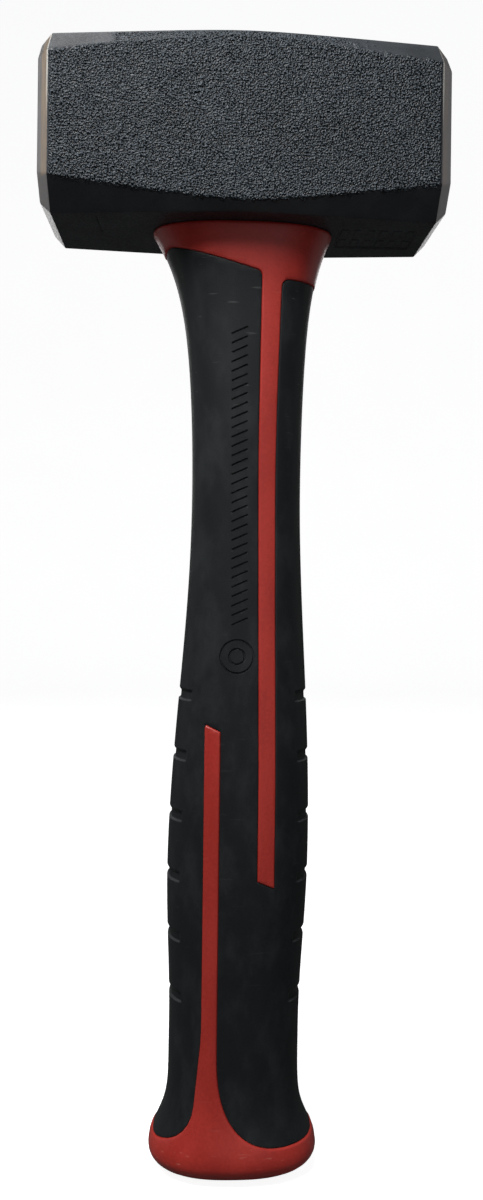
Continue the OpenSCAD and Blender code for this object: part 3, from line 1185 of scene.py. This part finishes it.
def cast_resin():
    """Amber epoxy with small bubbles near its surface."""
    s = Shader("cast_resin")
    cloud = s.noise(4, 3)
    bubbles = s.noise(0.7, 1)
    dark, amber = rgb(0.16, 0.085, 0.02), rgb(0.28, 0.16, 0.04)
    color = s.mix(s.range(cloud, 0.3, 0.7, 0, 1), dark, amber)
    color = s.mix(s.range(bubbles, 0.66, 0.72, 0, 0.6), color, rgb(0.5, 0.36, 0.15))
    normal = s.bump(bubbles, 0.05)
    return s.finish(Base_Color=color, Roughness=0.18, Normal=normal)


def sawn_fibreglass():
    """Pale rod end with the cut ends of its glass strands."""
    s = Shader("sawn_fibreglass")
    strands = s.noise(0.35, 2, 0.5, (1, 1, 0.01))
    saw = s.noise(0.3, 2, 0.5, (0.05, 1, 1))
    dark, pale = rgb(0.36, 0.31, 0.13), rgb(0.72, 0.68, 0.42)
    color = s.mix(s.range(strands, 0.35, 0.65, 0, 1), dark, pale)
    normal = s.bump(saw, 0.05)
    return s.finish(Base_Color=color, Roughness=0.5, Normal=normal)


def pale_floor():
    """Pale floor: bright to the camera, while little of its light reaches the hammer."""
    s = Shader("pale_floor")
    tone = s.noise(90, 2)
    grey, pale = rgb(0.62, 0.62, 0.62), rgb(0.66, 0.66, 0.66)
    seen = s.mix(s.range(tone, 0.3, 0.7, 0, 1), grey, pale)
    camera = s.add("ShaderNodeLightPath").outputs["Is Camera Ray"]
    return s.finish(
        Base_Color=s.mix(camera, rgb(0.13, 0.13, 0.13), seen),
        Roughness=0.9,
        Specular_IOR_Level=0.0,
        Emission_Color=rgb(1.0, 1.0, 1.0),
        Emission_Strength=s.times(camera, 0.9),
    )


# ---------- Set ----------


def make_floor():
    """Floor that sweeps up into a backdrop behind the object."""
    near, far, radius, height, half = -1.2, 1.2, 0.5, 2.2, 2.5
    turn = np.radians(np.linspace(0, 90, 13))
    path = [(near, 0.0)]
    path += [(far + radius * math.sin(a), radius * (1 - math.cos(a))) for a in turn]
    path.append((far + radius, height))
    points = [(x, y, z) for y, z in path for x in (-half, half)]
    faces = [(2 * k, 2 * k + 1, 2 * k + 3, 2 * k + 2) for k in range(len(path) - 1)]
    mesh = bpy.data.meshes.new("floor")
    mesh.from_pydata(points, [], faces)
    mesh.polygons.foreach_set("use_smooth", np.ones(len(faces), bool))
    mesh.materials.append(pale_floor())
    floor = bpy.data.objects.new("floor", mesh)
    floor.location.z = -0.05 * MM
    bpy.context.scene.collection.objects.link(floor)


def add_light(name, place, target, size, power, spread=180):
    """Soft square light at a place in millimetres, aimed at a target."""
    lamp = bpy.data.lights.new(name, "AREA")
    lamp.size = size * MM
    lamp.energy = power
    lamp.spread = math.radians(spread)
    light = bpy.data.objects.new(name, lamp)
    light.location = Vector(place) * MM
    aim = Vector(target) - Vector(place)
    light.rotation_euler = aim.to_track_quat("-Z", "Y").to_euler()
    bpy.context.scene.collection.objects.link(light)


def make_lights():
    """Large soft lights round the hammer, and weak narrow ones for the head's underside."""
    middle = (0, 0, 0.6 * HANDLE_LEN)
    left_end, right_end = (-50, -20, 273), (50, -20, 273)
    add_light("key", (-150, -270, 600), middle, 260, 4.6)
    add_light("fill", (150, -620, 260), middle, 500, 0.45)
    add_light("back_fill", (0, 600, 560), middle, 500, 0.5)
    add_light("under_card", (0, 420, 83), (0, 0, UNDERSIDE_Z), 300, 0.0005, 60)
    add_light("low_left_card", (-238, 447, 321), (-50, -10, UNDERSIDE_Z), 220, 0.011, 30)
    add_light("low_right_card", (237, 443, 350), (50, -10, UNDERSIDE_Z), 220, 0.010, 30)
    add_light("left_card", (-545, 120, 330), left_end, 600, 0.5)
    add_light("right_card", (545, 160, 330), right_end, 600, 0.30)
    add_light("top_card", (-150, 230, 780), (-30, -20, 290), 300, 0.4)
    world = bpy.data.worlds.new("studio")
    world.use_nodes = True
    background = world.node_tree.nodes["Background"]
    background.inputs["Color"].default_value = rgb(0.9, 0.95, 1.0)
    background.inputs["Strength"].default_value = 0.08
    bpy.context.scene.world = world


# Where the camera stands from the middle of the head's underside, and how it is turned
CAMERA_PLACE = (-8.9, -301.5, -91.8)
CAMERA_TURN = 0.046
CAMERA_ROLL = 0.012
CAMERA_LENS = 33.354
CAMERA_SHIFT = (-0.0127, -0.0208)


def make_camera():
    """Camera in front of the handle's neck, looking level."""
    data = bpy.data.cameras.new("camera")
    data.lens = CAMERA_LENS
    data.sensor_width = 36
    data.shift_x, data.shift_y = CAMERA_SHIFT
    data.clip_start, data.clip_end = 0.01, 20
    camera = bpy.data.objects.new("camera", data)
    x, y, z = CAMERA_PLACE
    camera.location = Vector((x, y, UNDERSIDE_Z + z)) * MM
    camera.rotation_mode = "QUATERNION"
    level = Euler((math.pi / 2, 0, -CAMERA_TURN)).to_quaternion()
    roll = Euler((0, 0, CAMERA_ROLL)).to_quaternion()
    camera.rotation_quaternion = level @ roll
    bpy.context.scene.collection.objects.link(camera)
    bpy.context.scene.camera = camera


def build():
    """All five pieces of the hammer. The grip and the jacket share one sheet."""
    sheet = handle_sheet()
    soft = softness(sheet.points)
    grip_piece(sheet, soft, [black_rubber()])
    jacket_piece(sheet, soft, [red_plastic()])
    head_piece([forged_paint(), ground_steel()])
    resin_piece([cast_resin()])
    core_piece([sawn_fibreglass()])


build()
make_floor()
make_lights()
make_camera()
bpy.context.scene.view_settings.view_transform = "Standard"
